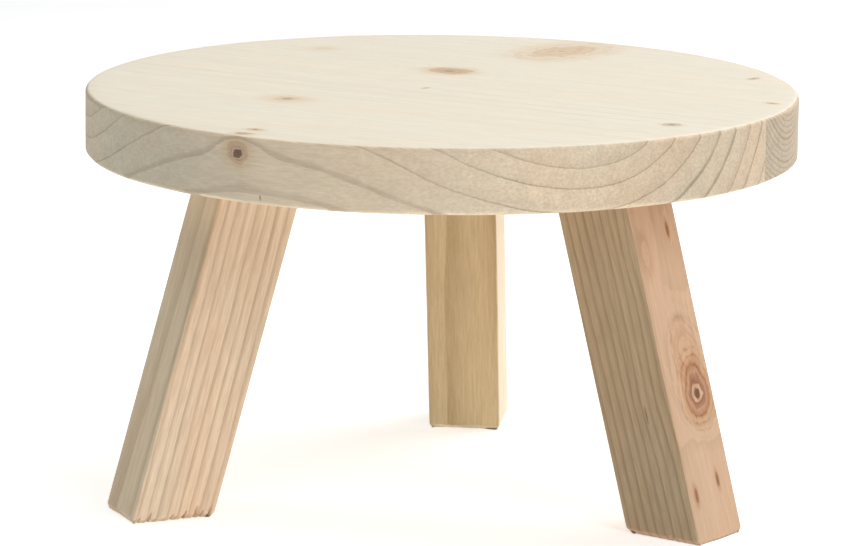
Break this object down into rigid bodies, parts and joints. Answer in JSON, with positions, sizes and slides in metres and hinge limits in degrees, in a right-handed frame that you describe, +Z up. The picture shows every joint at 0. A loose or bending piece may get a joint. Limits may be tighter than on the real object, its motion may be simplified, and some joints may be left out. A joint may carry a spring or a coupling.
{
  "type": "milking stool",
  "caption": "Low round wooden milking stool with a thick edge-glued seat on splayed square-section legs, in bare knotty softwood.",
  "frame": {"origin": "centre of the seat in plan, at floor level", "axes": "+Z up, +Y towards the rear leg's side, +X to the right as seen from the front"},
  "size_m": [0.3, 0.3, 0.173],
  "materials": {
    "seat_wood": "bare sanded softwood",
    "leg_wood": "bare sanded softwood",
    "dowel_wood": "bare fluted hardwood"
  },
  "bodies": {
    "root": {"seat_board_front": "seat_wood", "seat_board_rear": "seat_wood", "leg_rear": "leg_wood", "leg_right": "leg_wood", "leg_left": "leg_wood", "dowel_rear_1": "dowel_wood", "dowel_rear_2": "dowel_wood", "dowel_right_1": "dowel_wood", "dowel_right_2": "dowel_wood", "dowel_left_1": "dowel_wood", "dowel_left_2": "dowel_wood"}
  },
  "joints": []
}
